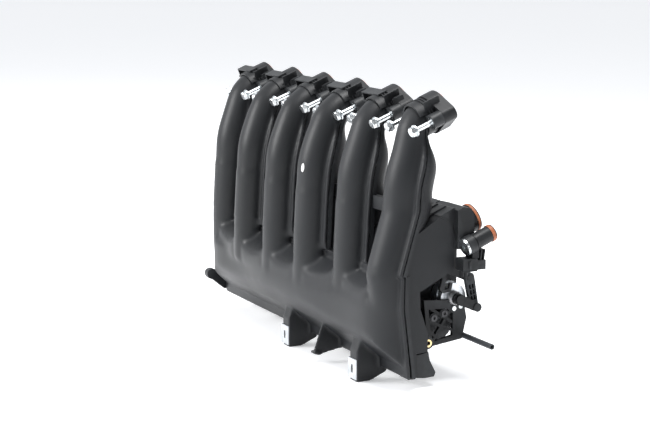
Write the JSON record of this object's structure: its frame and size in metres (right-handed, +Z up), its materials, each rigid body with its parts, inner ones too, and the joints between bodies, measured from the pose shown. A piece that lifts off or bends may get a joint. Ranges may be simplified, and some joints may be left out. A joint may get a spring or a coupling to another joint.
{
  "type": "intake manifold",
  "caption": "Moulded plastic intake manifold with curved runners into one collector, captive port bolts, flap linkage, vent tubes and bracket tabs.",
  "frame": {"origin": "bottom centre of the bounding box, at the level of the bracket tips and rear feet", "axes": "+X along the bank of runners, from the first runner to the actuator end; +Y towards the engine; +Z up"},
  "size_m": [0.5624, 0.1506, 0.3415],
  "materials": {
    "brass": "turned",
    "bush_plastic": "moulded",
    "can_silver": "satin",
    "clip_steel": "phosphated, light grey",
    "collar_plastic": "moulded",
    "flap_steel": "brushed",
    "grommet_rubber": "moulded",
    "lever_plastic": "moulded",
    "link_plastic": "moulded, ribbed",
    "pipe_plastic": "extruded nylon",
    "seal_orange": "moulded elastomer",
    "shell_plastic": "moulded, fine grain",
    "trim_plastic": "moulded",
    "zinc": "bright zinc plate"
  },
  "bodies": {
    "housing": {"front_shell": "shell_plastic", "rear_shell": "shell_plastic", "plenum_rear_cover": "shell_plastic", "throttle_seal": "seal_orange", "throttle_inserts": "brass", "port_collar_1": "collar_plastic", "port_seal_1": "seal_orange", "loom_channel_1": "trim_plastic", "port_collar_2": "collar_plastic", "port_seal_2": "seal_orange", "loom_channel_2": "trim_plastic", "port_collar_3": "collar_plastic", "port_seal_3": "seal_orange", "loom_channel_3": "trim_plastic", "port_collar_4": "collar_plastic", "port_seal_4": "seal_orange", "loom_channel_4": "trim_plastic", "port_collar_5": "collar_plastic", "port_seal_5": "seal_orange", "loom_channel_5": "trim_plastic", "port_collar_6": "collar_plastic", "port_seal_6": "seal_orange", "bolt_sleeves": "zinc", "clip_nuts": "clip_steel", "support_insert": "brass", "end_grommet": "grommet_rubber", "flap_carrier": "trim_plastic", "shaft_bushes": "bush_plastic", "actuator_can_back": "can_silver", "actuator_can_front": "can_silver", "actuator_rivets": "zinc", "return_spring": "flap_steel", "support_bracket": "trim_plastic", "bracket_screws": "zinc", "vacuum_pipe": "pipe_plastic", "vent_body": "collar_plastic", "vent_seal_large": "seal_orange", "vent_seal_small": "seal_orange", "blanking_plug": "zinc", "changeover_valve": "trim_plastic", "valve_connector": "trim_plastic"},
    "flaps": {"flap_shaft": "flap_steel", "flap_screws": "flap_steel", "flap_lever": "lever_plastic", "flap_plate_1": "flap_steel", "flap_plate_2": "flap_steel", "flap_plate_3": "flap_steel", "flap_plate_4": "flap_steel", "flap_plate_5": "flap_steel", "flap_plate_6": "flap_steel"},
    "actuator_arm": {"actuator_lever": "lever_plastic", "actuator_vane": "lever_plastic"},
    "link": {"link_rod": "link_plastic"},
    "bolts": {"captive_bolts": "zinc"}
  },
  "joints": [
    {"name": "flap_turn", "type": "hinge", "parent": "housing", "child": "flaps", "pos_m": [0.21425, 0.03454, 0.134], "axis": [1, 0, 0], "range_deg": [0, 60], "stiffness_Nm_per_rad": 0.08, "springref_deg": -28.65},
    {"name": "actuator_turn", "type": "hinge", "parent": "housing", "child": "actuator_arm", "pos_m": [0.22625, 0.04154, 0.099], "axis": [1, 0, 0], "range_deg": [0, 60]},
    {"name": "link_turn", "type": "hinge", "parent": "actuator_arm", "child": "link", "pos_m": [0.22275, 0.0667, 0.08673], "axis": [1, 0, 0], "range_deg": [-60, 0]},
    {"name": "bolt_slide", "type": "slide", "parent": "housing", "child": "bolts", "axis": [0, 0.9272, 0.3746], "range_m": [0, 0.0203]}
  ],
  "couplings": [
    {"joint": "actuator_turn", "follows": "flap_turn", "ratio": 1},
    {"joint": "link_turn", "follows": "flap_turn", "ratio": -1}
  ]
}
